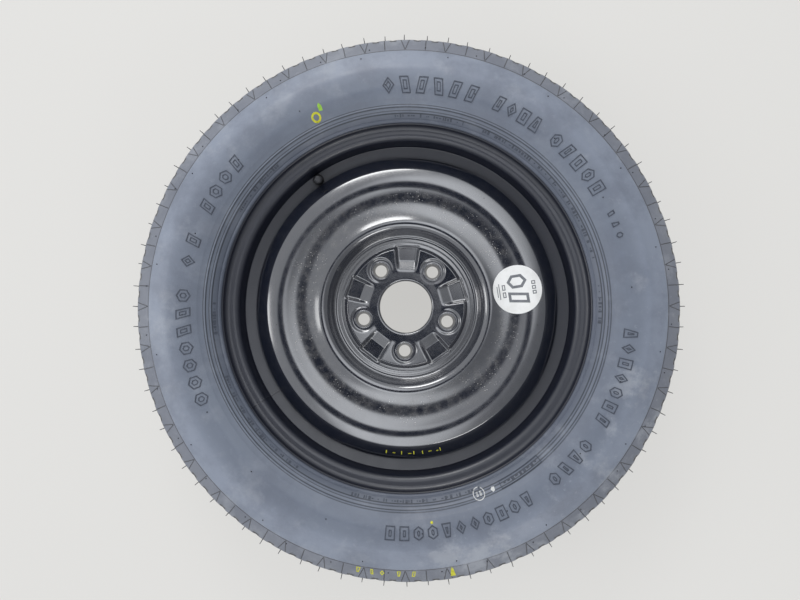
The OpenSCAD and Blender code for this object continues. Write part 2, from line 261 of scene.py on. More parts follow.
def srgb(code):
    """A linear colour from an sRGB hex value."""
    parts = [int(code[i : i + 2], 16) / 255 for i in (1, 3, 5)]
    linear = [c / 12.92 if c <= 0.04045 else ((c + 0.055) / 1.055) ** 2.4 for c in parts]
    return (*linear, 1.0)


# Settings that many nodes share
SMOOTH = {"interpolation_type": "SMOOTHSTEP"}
COLOURS = {"data_type": "RGBA", "out": 2}


def repeats(size_mm):
    """The scale at which a pattern's blotches have a size in millimetres."""
    return 1000.0 / size_mm


def join(made, inputs):
    """Gives a node's inputs, by number or name, their values; a socket is linked."""
    for key, value in inputs.items():
        if isinstance(value, bpy.types.NodeSocket):
            made.id_data.links.new(value, made.inputs[key])
        else:
            made.inputs[key].default_value = value


def node(tree, kind, *inputs, out=0, **settings):
    """Adds a node with its settings and links, and gives one of its outputs.

    Its inputs are values or sockets, either in order or in one dict by number or name.
    """
    made = tree.nodes.new("ShaderNode" + kind)
    for key, value in settings.items():
        setattr(made, key, value)
    join(made, inputs[0] if inputs and isinstance(inputs[0], dict) else dict(enumerate(inputs)))
    return made.outputs[out]


def finish_of(name):
    """A new material of that name, a function that adds nodes to it, and its shader."""
    material = bpy.data.materials.new(name)
    material.use_nodes = True
    tree = material.node_tree
    return material, partial(node, tree), tree.nodes["Principled BSDF"]


def round_the_wheel(add):
    """Sockets for the place, the distance from the axis in mm, the angle in degrees and the height in mm."""
    place = add("TexCoord", out="Object")
    x, y, z = add("SeparateXYZ", place).node.outputs
    across = add("Math", x, x, operation="MULTIPLY")
    along = add("Math", y, y, operation="MULTIPLY")
    squares = add("Math", across, along, operation="ADD")
    radius = add("Math", squares, operation="SQRT")
    radius = add("Math", radius, 1000.0, operation="MULTIPLY")
    angle = add("Math", y, x, operation="ARCTAN2")
    angle = add("Math", angle, operation="DEGREES")
    height = add("Math", z, 1000.0, operation="MULTIPLY")
    return place, radius, angle, height


def apart(add, value, middle):
    """How far a value is from a middle."""
    off = add("Math", value, middle, operation="SUBTRACT")
    return add("Math", off, operation="ABSOLUTE")


# The tyre's outer line from its bead to the middle of its tread, for one half

TYRE_HALF = [
    (SEAT_R - 1.6, HALF_RIM - 20.1, 0),
    (SEAT_R + 0.1, HALF_RIM - 0.1, 5.9),
    (LIP_R + 0.1, HALF_RIM - 0.1, 9.1),
    (LIP_R + 0.1, HALF_RIM + 10.4, 0.8),
    (LIP_R + 2.2, HALF_RIM + 12.6, 0.8),
    (LIP_R + 4.2, HALF_RIM + 12.4, 0.6),
    (LIP_R + 4.8, HALF_RIM + 13.9, 0.6),
    (LIP_R + 9.8, HALF_RIM + 17.4, 0.5),
    (LIP_R + 10.4, HALF_RIM + 18.8, 0.5),
    (LIP_R + 11.8, HALF_RIM + 19.6, 0.5),
    (LIP_R + 12.6, HALF_RIM + 19.0, 0.4),
    (LIP_R + 16.2, HALF_RIM + 21.6, 0.4),
    (LIP_R + 17.0, HALF_RIM + 23.0, 0.5),
    (LIP_R + 18.2, HALF_RIM + 23.4, 0.5),
    (LIP_R + 18.9, HALF_RIM + 22.9, 0.5),
    (LIP_R + 26.0, 78.4, 10),
    (272.0, BULGE, 20),
    (300.0, BULGE, 24),
    (323.6, 73.6, 2),
    (324.4, 72.2, 0.5),
    (326.0, 71.8, 0.5),
    (344.5, 60.5, 7.5),
    (347.4, 31.0, 20),
]
TREAD = [
    (347.6, 30.0, 0.6),
    (342.4, 29.4, 0.8),
    (342.4, 24.6, 0.8),
    (347.8, 24.0, 0.6),
    (348.0, 3.2, 0.6),
    (342.8, 2.6, 0.8),
    (342.8, 0.0, 0),
]
# The grooves swing beyond this radius, fully up to one distance from the middle, and fade up to another
WAVE_R = 341.0
WAVE_SIDE = 34.0
STILL_SIDE = 40.0
# The notches are cut beyond this radius, between two distances from the middle
NOTCH_R = 338.0
NOTCH_START = 42.0
NOTCH_END = 64.0
TYRE_INSIDE = [
    (SEAT_R - 1.6, HALF_RIM - 20.1, 0),
    (SEAT_R + 8, HALF_RIM - 17, 8),
    (LIP_R + 11, 61.5, 18),
    (274.0, 76.5, 26),
    (298.0, 76.5, 26),
    (323.7, 62.5, 14),
    (335.0, 38.5, 20),
    (336.0, 0.0, 0),
]
WALL_START_R = LIP_R + 4.9
UPPER_WALL = [p + Vector((0, MIDDLE)) for p in rounded(TYRE_HALF) if p.x > WALL_START_R]


def sidewall_height(r):
    """Height of the outer sidewall at a distance from the axis."""
    return height_on(UPPER_WALL, r)


# Finishes, each for the real material


def rubber_material():
    """Moulded tyre rubber under a dry bloom, which gives a dull blue-grey with a soft sheen; its colour also
    holds painted sheen and painted shade.
    """
    material, add, shader = finish_of("Moulded tyre rubber")
    place, radius, angle, height = round_the_wheel(add)
    # Noise, kept by the size of its blotches in millimetres
    noise = {
        size: add("TexNoise", {"Vector": place, "Scale": repeats(size), "Detail": detail, "Roughness": rough})
        for size, detail, rough in ((75, 5, 0.68), (55, 5, 0.66), (25, 4, 0.6), (7, 5, 0.66), (1.2, 2, 0.6))
    }
    # The tone steps by radius: the bloom is thin beside the rim and on the tread, and the pale band inside
    # the mould ring is partly bloom and partly painted sheen
    colour = srgb("#4b5260")
    for near, far, code in (
        (236.0, 252.0, "#6c7482"),
        (280.0, 312.0, "#858d9c"),
        (322.5, 325.5, "#747882"),
        (342.0, 345.5, "#51545a"),
    ):
        bloom_and_sheen_band = add("MapRange", radius, near, far, **SMOOTH)
        colour = add("Mix", {0: bloom_and_sheen_band, 6: colour, 7: srgb(code)}, **COLOURS)
    worn = add("MapRange", noise[75], 0.38, 0.68, 0.0, 0.5, **SMOOTH)
    colour = add("Mix", {0: worn, 6: colour, 7: srgb("#595f6d")}, **COLOURS)
    # Painted shade darkens the corners beside the two raised rings, and beside the mould ring
    nearest = None
    for out_from_lip in (9.9, 13.0, 16.5, 19.3, 89.8):
        off = apart(add, radius, LIP_R + out_from_lip)
        nearest = off if nearest is None else add("Math", nearest, off, operation="MINIMUM")
    groove_shade = add("MapRange", nearest, 0.25, 0.8, 0.75, 0.0, **SMOOTH)
    colour = add("Mix", {0: groove_shade, 6: colour, 7: srgb("#23262c")}, **COLOURS)
    # Most of the pale smears lie on the lower right of the sidewall, where the tyre has rubbed
    turn = apart(add, angle, -42.0)
    low_right = add("MapRange", turn, 30.0, 60.0, 1.0, 0.5, **SMOOTH)
    outer = add("MapRange", radius, 262.0, 296.0, 0.4, 1.0, **SMOOTH)
    rubbed = add("Math", low_right, outer, operation="MULTIPLY")
    patches = add("MapRange", noise[55], 0.5, 0.68, 0.0, 0.55, **SMOOTH)
    smears = add("MapRange", noise[7], 0.58, 0.74, 0.0, 0.5, **SMOOTH)
    pale = add("Math", smears, 0.6, patches, operation="MULTIPLY_ADD")
    pale = add("Math", pale, rubbed, operation="MULTIPLY")
    colour = add("Mix", {0: pale, 6: colour, 7: srgb("#a7abb2")}, **COLOURS)
    # On the shoulder, pairs of leaning sipes stand at every pitch with a single one between
    away = add("Math", angle, 360.0, operation="ADD")
    away = add("Math", away, SIPE_PITCH / 2, operation="PINGPONG")
    reach = add("Math", radius, SHOULDER_R, operation="SUBTRACT")
    lean = add("Math", reach, 0.05, operation="MULTIPLY")
    pair = apart(add, away, lean)
    single = add("Math", SIPE_PITCH / 2, away, operation="SUBTRACT")
    line = add("Math", pair, single, operation="MINIMUM")
    line = add("MapRange", line, 0.05, 0.13, 0.8, 0.0, **SMOOTH)
    # Painted shade fills the notches of the tread's edge as dark slots
    slot = apart(add, away, NOTCH_TURN)
    slot = add("MapRange", slot, 0.5, 0.9, 1.0, 0.0, **SMOOTH)
    edge = add("MapRange", radius, 339.6, 341.2, **SMOOTH)
    slot = add("Math", slot, edge, operation="MULTIPLY")
    side = apart(add, height, MIDDLE)
    side = add("MapRange", side, 54.0, 56.0, **SMOOTH)
    shoulder = add("MapRange", radius, SHOULDER_R, SHOULDER_R + 1.5, **SMOOTH)
    shoulder = add("Math", shoulder, side, operation="MULTIPLY")
    sipes = add("Math", line, slot, operation="MAXIMUM")
    sipes = add("Math", sipes, shoulder, operation="MULTIPLY")
    # The sipes and the notch slots are darkened in colour as painted shade
    sipe_and_notch_shade = add("Math", sipes, 0.9, operation="MULTIPLY")
    colour = add("Mix", {0: sipe_and_notch_shade, 6: colour, 7: srgb("#15171a")}, **COLOURS)
    # The sipes sink by 0.8 mm. The grain is coarser than the mould's real one, so that it shows
    grain = add("Math", noise[1.2], 0.08, operation="MULTIPLY")
    sunk = add("Math", sipes, 0.8, operation="MULTIPLY")
    level = add("Math", grain, sunk, operation="SUBTRACT")
    values = {
        "Base Color": colour,
        "Roughness": add("MapRange", noise[25], 0.3, 0.75, 0.4, 0.54, **SMOOTH),
        "IOR": 1.62,
        "Sheen Weight": 0.1,
        "Sheen Roughness": 0.5,
        "Normal": add("Bump", {"Height": level, "Distance": MM, "Strength": 1.0}),
    }
    join(shader, values)
    return material


def paint_material(name, colour, roughness, dusty, gloss, seam):
    """Dip paint on steel, which gives a nearly black gloss with orange peel, dust and specks."""
    material, add, shader = finish_of(name)
    place, radius, angle, _ = round_the_wheel(add)
    noise = {
        size: add("TexNoise", {"Vector": place, "Scale": repeats(size), "Detail": detail, "Roughness": rough})
        for size, detail, rough in ((30, 3, 0.6), (20, 4, 0.6), (9, 5, 0.65), (5, 2, 0.5))
    }
    # A film of dust and small bright specks lie mostly in the disc's dip
    start = add("MapRange", radius, 112.0, 124.0, **SMOOTH)
    end = add("MapRange", radius, 138.0, 156.0, 1.0, 0.0, **SMOOTH)
    in_dip = add("Math", start, end, operation="MULTIPLY")
    share = add("Math", in_dip, 0.75, 0.25, operation="MULTIPLY_ADD")
    film = add("MapRange", noise[9], 0.36, 0.8, 0.0, 0.17 * dusty, **SMOOTH)
    film = add("Math", film, share, operation="MULTIPLY")
    share = add("Math", in_dip, 0.9 * dusty, 0.08 * dusty, operation="MULTIPLY_ADD")
    few = add("MapRange", noise[30], 0.46, 0.62, **SMOOTH)
    few = add("Math", few, share, operation="MULTIPLY")
    cells = {"Vector": place, "Scale": repeats(3), "Randomness": 1.0}
    specks = add("TexVoronoi", cells, out="Distance", feature="F1")
    specks = add("MapRange", specks, 0.10, 0.17, 1.0, 0.0, **SMOOTH)
    specks = add("Math", specks, few, operation="MULTIPLY")
    tone = add("Mix", {0: film, 6: srgb(colour), 7: srgb("#8d8880")}, **COLOURS)
    tone = add("Mix", {0: specks, 6: tone, 7: srgb("#c9c6bf")}, **COLOURS)
    rough = add("MapRange", noise[20], 0.35, 0.7, roughness, roughness + 0.07, **SMOOTH)
    rough = add("Math", film, 0.7, rough, operation="MULTIPLY_ADD")
    rough = add("Math", specks, 0.4, rough, operation="MULTIPLY_ADD")
    # Orange peel swells by some thousandths of a millimetre, and is drawn wide so that it shows;
    # a speck of dirt in the paint stands 0.1 mm high
    level = add("Math", noise[5], 0.008, operation="MULTIPLY")
    level = add("Math", specks, 0.1, level, operation="MULTIPLY_ADD")
    if seam:
        # The rim's butt weld is dressed flat, and shows as one fine line across the band
        line = apart(add, angle, RIM_SEAM)
        line = add("MapRange", line, 0.1, 0.35, 1.0, 0.0, **SMOOTH)
        level = add("Math", line, 0.5, level, operation="MULTIPLY_ADD")
    values = {
        "Base Color": tone,
        "Roughness": rough,
        "IOR": 1.5 + 0.45 * gloss,
        "Coat Weight": gloss,
        "Coat IOR": 1.7,
        "Coat Roughness": roughness * 0.6,
        "Normal": add("Bump", {"Height": level, "Distance": MM, "Strength": 1.0}),
    }
    join(shader, values)
    return material


# Small pieces: two close shades, roughness, metallic, and the grain's size and depth in millimetres
FINISHES = {
    # The raised lines are darkened with painted shade, for the shadow along their strokes
    "Raised rubber lines with painted shade": ("#3d424d", "#4a505c", 0.5, 0.0, 1.0, 0.05),
    # Flash from the mould is thin and dull, near black against the floor
    "Flash rubber of the vents": ("#1d1f23", "#282a2f", 0.6, 0.0, 0.6, 0.02),
    # Wax crayon lies flat and bright, a little uneven
    "Yellow marking crayon": ("#d8d63a", "#c3bf2e", 0.6, 0.0, 1.0, 0.05),
    "Green marking crayon": ("#9ccb45", "#86b53a", 0.6, 0.0, 1.0, 0.05),
    # Stamping ink is a chalky white
    "White stamping ink": ("#d9dad8", "#bfc0bf", 0.6, 0.0, 1.0, 0.02),
    # Steel has browned where the paint has come off, almost to black
    "Bare pits in the paint": ("#0b0a0a", "#1a1410", 0.7, 0.0, 0.6, 0.05),
    # The valve's rubber is smooth from its mould, with a soft shine
    "Snap-in valve rubber": ("#26272a", "#313236", 0.5, 0.0, 0.8, 0.03),
    # Turned brass has gone to a dull yellow
    "Turned valve brass": ("#b59a5b", "#9c8148", 0.32, 1.0, 0.5, 0.01),
    # The cap's plastic is a little shinier than the rubber under it
    "Moulded cap plastic": ("#2a2b2e", "#34353a", 0.42, 0.0, 0.6, 0.02),
    # A weld bead is lumpy, and browner where its paint is thin
    "Painted weld bead": ("#2a2b2d", "#3a3734", 0.45, 0.0, 1.6, 0.3),
    # Seal rubber is a matt red
    "Moulded seal rubber": ("#7c2f28", "#6a2721", 0.6, 0.0, 0.3, 0.01),
    # Drawn wire is bright and smooth
    "Drawn spring wire": ("#b9bcbf", "#a5a8ab", 0.25, 1.0, 0.3, 0.005),
    # Vinyl film is white with an even shine
    "Printed vinyl label": ("#f2f2f0", "#eaeae7", 0.3, 0.0, 4.0, 0.01),
    # Ink lies flat on the film, in a middle grey
    "Grey printing ink": ("#6f7276", "#7b7e82", 0.4, 0.0, 2.0, 0.005),
}


def finish(name):
    """A small piece's material, made the first time that it is asked for."""
    if name in bpy.data.materials:
        return bpy.data.materials[name]
    first, second, roughness, metallic, grain_mm, depth_mm = FINISHES[name]
    material, add, shader = finish_of(name)
    place = add("TexCoord", out="Object")
    broad = {"Vector": place, "Scale": repeats(4 * grain_mm), "Detail": 4, "Roughness": 0.6}
    fine = {"Vector": place, "Scale": repeats(grain_mm), "Detail": 2, "Roughness": 0.5}
    tone = add("TexNoise", broad)
    grain = add("TexNoise", fine)
    shade = add("MapRange", tone, 0.4, 0.65, **SMOOTH)
    values = {
        "Base Color": add("Mix", {0: shade, 6: srgb(first), 7: srgb(second)}, **COLOURS),
        "Roughness": add("MapRange", tone, 0.3, 0.7, roughness, roughness + 0.12, **SMOOTH),
        "Metallic": metallic,
        "Normal": add("Bump", {"Height": grain, "Distance": depth_mm * MM, "Strength": 1.0}),
    }
    join(shader, values)
    return material


# The disc: its outer line from the hub bore to the edge of its flange

DISC_LINE = [
    (33.55, 0.0, 0),
    (33.55, 8.1, 3.4),
    (47.0, 8.1, 20),
    (75.5, 11.1, 1.6),
    (79.6, 7.2, 1.2),
    (83.4, 6.6, 1.2),
    (85.2, 7.1, 1.2),
    (88.2, 6.3, 1.2),
    (90.0, 6.7, 1.0),
    (93.6, 6.1, 4),
    (101.8, 29.0, 10),
    (131.0, 17.8, 56),
    (160.0, 28.0, 30),
    (177.0, 24.0, 4),
    (INSIDE_R, 4.0, 7),
    (INSIDE_R, -30.0, 0),
]
DISC_BACK = [
    (33.55, 0.0, 0),
    (33.55, 8.1, 4.2),
    (47.0, 8.1, 20),
    (75.5, 10.0, 8),
    (83.0, 6.7, 6),
    (93.6, 6.1, 5),
    (101.8, 29.0, 10),
    (131.0, 17.8, 56),
    (160.0, 28.0, 30),
    (177.0, 24.0, 5),
    (INSIDE_R, 4.0, 7),
    (INSIDE_R, -30.0, 0),
]
HUB_FACE_START = 37.5
HUB_FACE_END = 86.0
HUB_BEND_END = 34.0

# A pad is cut from a ramp that rises inwards, and it widens outwards from its inner end
PAD_FLOOR = 3.6
PAD_START = 40.0
PAD_REACH = 22.0
RAMP_FOOT = 60.0
RAMP_RISE = 4.5 / 13.0
PAD_HALF = 9.0
PAD_FLARE = 3.2
FLARE_START = 47.0
FLARE_RUN = 28.0
PAD_WALL = 4.6
PAD_END = 77.2
PAD_END_WALL = 3.0

# A flat spot lies round each nut seat
SPOT_Z = 8.05
SPOT_R = 14.6
SPOT_WALL = 2.4
SEAT_OPENING_R = 12.2
DISC_FACE = [p for p in rounded(DISC_LINE, 4) if p.x > 101.5]
PAD_ANGLES = [AZIMUTH + (i + 0.5) * math.tau / 5 for i in range(5)]
NUT_ANGLES = [AZIMUTH + i * math.tau / 5 for i in range(5)]


def pressed(x, y, z):
    """Height of the hub face at a place, once the pads and nut spots are pressed in."""
    if not HUB_FACE_START <= math.hypot(x, y) <= HUB_FACE_END:
        return z
    for a in PAD_ANGLES:
        along = x * math.cos(a) + y * math.sin(a)
        across = abs(-x * math.sin(a) + y * math.cos(a))
        if along < PAD_START or across > PAD_REACH:
            continue
        ramp = PAD_FLOOR + max(0.0, RAMP_FOOT - along) * RAMP_RISE
        half = PAD_HALF + PAD_FLARE * min(1.0, max(0.0, (along - FLARE_START) / FLARE_RUN))
        sunk = softer_least(z, ramp, 0.6)
        inside = 1 - ease(half, half + PAD_WALL, across)
        outer = 1 - ease(PAD_END, PAD_END + PAD_END_WALL, along)
        z = z + (sunk - z) * inside * outer
    for a in NUT_ANGLES:
        away = math.hypot(x - STUD_R * math.cos(a), y - STUD_R * math.sin(a))
        level = min(z, SPOT_Z)
        z = level + (z - level) * ease(SPOT_R, SPOT_R + SPOT_WALL, away)
    return z


def make_disc(steps):
    """The pressed disc: a turned sheet, then its pads and spots pushed in by height."""
    face = rounded(DISC_LINE, 9)
    outer = []
    for a, b in zip(face, face[1:]):
        longest = 1.15 if max(a.x, b.x) < HUB_FACE_END else 6.0
        outer += filled([a, b], longest)[:-1]
    outer.append(face[-1])
    inner = filled(beside(rounded(DISC_BACK, 15), DISC_T), 3.4)
    bm = turned(outer + inner[::-1], steps)
    top_line = [p for p in face if p.x > HUB_BEND_END]
    tops = {}
    for v in bm.verts:
        x, y, z = (c / MM for c in v.co)
        r = round(math.hypot(x, y), 3)
        if not HUB_FACE_START < r < HUB_FACE_END:
            continue
        if r not in tops:
            tops[r] = height_on(top_line, r)
        top = tops[r]
        level = pressed(x, y, top)
        if z < top - DISC_T * 0.5:
            v.co.z = max(z + level - top, 0.0) * MM
        else:
            v.co.z = level * MM
    # Between its four lands the flange is set back from the rim, and is shorter
    for v in bm.verts:
        r = math.hypot(v.co.x, v.co.y) / MM
        z = v.co.z / MM
        if r < 184 or z > 12:
            continue
        turn = math.degrees(math.atan2(v.co.y, v.co.x) - AZIMUTH) % 90
        back = ease(24.0, 38.0, min(turn, 90 - turn))
        inwards = 1 - 2.0 / r * back * (1 - ease(2.0, 12.0, z))
        v.co.x *= inwards
        v.co.y *= inwards
        if z < -4:
            v.co.z = (-4 + (z + 4) * (1 - 0.27 * back)) * MM
    # Open the sheet round each nut seat, on both of its sides, and close the edge
    for a in NUT_ANGLES:
        centre = Vector((STUD_R * math.cos(a), STUD_R * math.sin(a))) * MM
        opening = (SEAT_OPENING_R - 0.3) * MM
        near = [f for f in bm.faces if (f.calc_center_median().xy - centre).length < opening]
        bmesh.ops.delete(bm, geom=near, context="FACES")
        rims = [e for e in bm.edges if e.is_boundary]
        edges = [e for e in rims if (e.verts[0].co.xy - centre).length < 15 * MM]
        for v in {v for e in edges for v in e.verts}:
            away = (v.co.xy - centre).normalized() * SEAT_OPENING_R * MM
            v.co.x, v.co.y = centre + away
        bmesh.ops.bridge_loops(bm, edges=edges)
    return bm


# Operators, one for each piece or group of like pieces


class SPARE_OT_tyre(bpy.types.Operator):
    """Make the tyre with its ridges, tread grooves and mould ring"""

    bl_idname = "spare.tyre"
    bl_label = "Tyre"

    def execute(self, context):
        """Turn the section and wave the tread grooves."""
        s = context.scene.spare_tyre
        half = filled(rounded(TYRE_HALF, 9, 65) + rounded(TREAD, 50, 65), 14.0)
        inner = filled(rounded(TYRE_INSIDE, 24), 40.0)
        outer = half + [Vector((p.x, -p.y)) for p in half[::-1]][1:]
        hollow = inner + [Vector((p.x, -p.y)) for p in inner[::-1]][1:]
        section = outer + hollow[::-1][1:-1]
        bm = turned([(p.x, p.y + MIDDLE) for p in section], 400)
        pitch = math.tau / s.pitches
        for v in bm.verts:
            r = math.hypot(v.co.x, v.co.y) / MM
            z = v.co.z / MM - MIDDLE
            if r > WAVE_R and abs(z) < STILL_SIDE:
                turn = (math.atan2(v.co.y, v.co.x) / pitch) % 1.0
                wave = abs(2 * turn - 1) * 2 - 1
                weight = min(1.0, (STILL_SIDE - abs(z)) / (STILL_SIDE - WAVE_SIDE))
                v.co.z += wave * s.groove_wave * weight
            if r > NOTCH_R and NOTCH_START < abs(z) < NOTCH_END:
                # Short notches break the tread's edge between the sipes
                turn = math.degrees(math.atan2(v.co.y, v.co.x)) % SIPE_PITCH
                if abs(min(turn, SIPE_PITCH - turn) - NOTCH_TURN) < 0.5:
                    inwards = 1 - s.notch_depth / MM / r
                    v.co.x *= inwards
                    v.co.y *= inwards
        piece("tyre_rubber", bm, rubber_material(), stands_for=["tyre"], crease=50)
        return {"FINISHED"}


class SPARE_OT_vents(bpy.types.Operator):
    """Make the moulding hairs and nubs left by the mould's vents"""

    bl_idname = "spare.vents"
    bl_label = "Vent Hairs"

    def execute(self, context):
        """Stand a thin hair on every vent of both shoulders and short nubs on the sidewall."""
        s = context.scene.spare_tyre
        chance = random.Random(11)
        bm = bmesh.new()
        for side in (1, -1):
            for i in range(s.vents):
                a = math.tau * (i + 0.06 * chance.uniform(-1, 1)) / s.vents
                length = s.vent_length / MM * chance.uniform(0.75, 1.1)
                lean = math.radians(chance.uniform(8, 30))
                bend = chance.uniform(-0.25, 0.25)
                place = (
                    Matrix.Rotation(a, 4, "Z")
                    @ Matrix.Translation((VENT_R * MM, 0, (MIDDLE + side * VENT_SIDE) * MM))
                    @ Matrix.Rotation(bend, 4, "X")
                    @ Matrix.Rotation(math.pi / 2 - side * lean, 4, "Y")
                    @ Matrix.Translation((0, 0, length / 2 * MM))
                )
                add_peg(bm, place, 0.62, 0.4, length, 5)
        # Nubs stand in rings: the ring's radius, how many there are, and the turn of the first
        for r, count, start in ((277, 16, 4.0), (317, 16, 12.0), (329.5, 32, 7.0)):
            for i in range(count):
                a = math.radians(start) + math.tau * (i + 0.1 * chance.uniform(-1, 1)) / count
                place = Matrix.Rotation(a, 4, "Z") @ Matrix.Translation(
                    (r * MM, 0, (sidewall_height(r) + 0.2) * MM)
                )
                add_peg(bm, place, 0.9, 0.6, 1.3, 8)
        piece("vent_hairs", bm, finish("Flash rubber of the vents"))
        return {"FINISHED"}


# Hollow block shapes stand in the sidewall's raised band; each is (x, y) in its own box
BLOCKS = [
    [(0, 0), (1, 0), (1, 1), (0, 1)],
    [(0.5, 0), (1, 0.25), (1, 0.75), (0.5, 1), (0, 0.75), (0, 0.25)],
    [(0.25, 0), (1, 0), (0.75, 1), (0, 1)],
    [(0, 0), (1, 0), (0.75, 1), (0.25, 1)],
    [(0.5, 0), (1, 0.5), (0.5, 1), (0, 0.5)],
    [(0, 0), (0.75, 0), (1, 1), (0.25, 1)],
]


def slab(corners, rim, height, longest):
    """A thin flat shape, or only its outline where a rim is given, cut so that it can bend."""
    bm = bmesh.new()
    face = bm.faces.new([bm.verts.new((x * MM, y * MM, 0)) for x, y in corners])
    face.normal_update()
    flat = [face]
    if rim:
        inset = bmesh.ops.inset_individual(bm, faces=flat, thickness=rim * MM, use_even_offset=True)
        flat = inset["faces"]
        bmesh.ops.delete(bm, geom=[face], context="FACES_ONLY")
    lifted = bmesh.ops.extrude_face_region(bm, geom=flat)["geom"]
    top = [g for g in lifted if isinstance(g, bmesh.types.BMVert)]
    bmesh.ops.translate(bm, verts=top, vec=(0, 0, height * MM))
    # Straight cuts both ways let the flat shape follow a curved surface
    for axis in (0, 1):
        places = [v.co[axis] for v in bm.verts]
        low, high = min(places), max(places)
        count = math.ceil((high - low) / (longest * MM))
        for k in range(1, count):
            place, towards = Vector(), Vector()
            place[axis] = low + (high - low) * k / count
            towards[axis] = 1.0
            everything = bm.verts[:] + bm.edges[:] + bm.faces[:]
            bmesh.ops.bisect_plane(bm, geom=everything, dist=1e-7, plane_co=place, plane_no=towards)
    return bm


def box_of(width, tall, x=0.0, y=0.0):
    """The corners of a rectangle about a place."""
    return [(x + i * width / 2, y + j * tall / 2) for i, j in ((-1, -1), (1, -1), (1, 1), (-1, 1))]


def scaled(shape, width, tall, x=0.0, y=0.0):
    """A shape of the unit box, brought to a size and a place."""
    return [(x + (i - 0.5) * width, y + (j - 0.5) * tall) for i, j in shape]


def disc_of(radius, x=0.0, y=0.0, count=16):
    """The corners of a round shape."""
    turns = [k * math.tau / count for k in range(count)]
    return [(x + radius * math.cos(t), y + radius * math.sin(t)) for t in turns]


def add_to(bm, one):
    """Adds a bmesh to another and frees it."""
    part = bpy.data.meshes.new("part")
    one.to_mesh(part)
    one.free()
    bm.from_mesh(part)
    bpy.data.meshes.remove(part)


def lay_on_sidewall(bm, middle_angle, middle_r, lift):
    """Bends a flat pattern round the wheel onto the sidewall; its top points outwards."""
    for v in bm.verts:
        x, y, h = (c / MM for c in v.co)
        r = middle_r + y
        a = middle_angle - x / middle_r
        v.co = Vector((r * math.cos(a), r * math.sin(a), sidewall_height(r) + lift + h)) * MM


def lay_on_disc(bm, middle_angle, middle_r, lift):
    """Drops a flat pattern onto the disc's face; its top points outwards."""
    for v in bm.verts:
        x, y, h = (c / MM for c in v.co)
        spot = Matrix.Rotation(middle_angle, 2) @ Vector((middle_r + y, -x))
        v.co = Vector((spot.x, spot.y, height_on(DISC_FACE, spot.length) + lift + h)) * MM


def clockwise(degrees):
    """An angle read clockwise from the top of the photograph, as a turn from +X."""
    return math.radians(90 - degrees)


class SPARE_OT_sidewall_marks(bpy.types.Operator):
    """Make the raised outlines on the tyre's sidewall"""

    bl_idname = "spare.sidewall_marks"
    bl_label = "Sidewall Marks"

    def execute(self, context):
        """Lay hollow block shapes on the wide band and small bars on the narrow one."""
        chance = random.Random(5)
        bm = bmesh.new()
        # Stretches of the band in degrees clockwise from the top, with the shapes' width and height
        for start, end, width, tall in (
            (353.5, 379.6, 15.0, 21.0),
            (23.2, 37.5, 13.0, 19.0),
            (40.5, 60.4, 13.0, 19.0),
            (64.4, 73.2, 6.5, 9.0),
            (95.2, 122.0, 12.0, 17.0),
            (126.0, 141.0, 12.0, 17.0),
            (146.0, 185.6, 12.0, 17.0),
            (243.2, 275.0, 15.0, 18.0),
            (279.0, 290.0, 15.0, 18.0),
            (294.5, 312.4, 15.0, 18.0),
        ):
            step = math.degrees((width + 4.2) / BAND_R)
            count = max(1, int((end - start) / step))
            for i in range(count):
                a = clockwise(start + (i + 0.5) * (end - start) / count)
                shape = chance.choice(BLOCKS)
                one = slab(scaled(shape, width, tall), 1.2, 0.9, 5.0)
                if width > 10:
                    add_to(one, slab(scaled(shape, width - 8.4, tall - 9.0), 1.0, 0.9, 5.0))
                lay_on_sidewall(one, a, BAND_R, -0.25)
                add_to(bm, one)
        # The narrow band holds short close bars between the flange and the double ridge
        for start, end in ((-3, 18), (24, 76), (84, 96), (158, 196), (214, 250), (262, 271), (300, 318)):
            degrees = start
            while degrees < end:
                width = chance.uniform(1.0, 3.2)
                tall = chance.choice((1.1, 2.6, 3.4))
                one = slab(box_of(width, tall), 0, 0.75, 9.0)
                lay_on_sidewall(one, clockwise(degrees), NARROW_BAND_R + chance.uniform(-0.2, 0.2), -0.3)
                add_to(bm, one)
                gap = chance.choice((1.2, 1.2, 1.6, 6.0))
                degrees += math.degrees((width + gap) / NARROW_BAND_R)
        # A framed plate stands across the double ridge
        one = slab(box_of(58, 9.5), 0.9, 1.0, 1.6)
        for k in range(9):
            width = chance.uniform(2.0, 4.4)
            tall = chance.choice((1.2, 3.6))
            add_to(one, slab(box_of(width, tall, -23 + 5.7 * k), 0, 0.9, 9.0))
        lay_on_sidewall(one, clockwise(145.4), 249.0, 0.0)
        add_to(bm, one)
        piece("raised_sidewall_shapes", bm, finish("Raised rubber lines with painted shade"), crease=30)
        return {"FINISHED"}


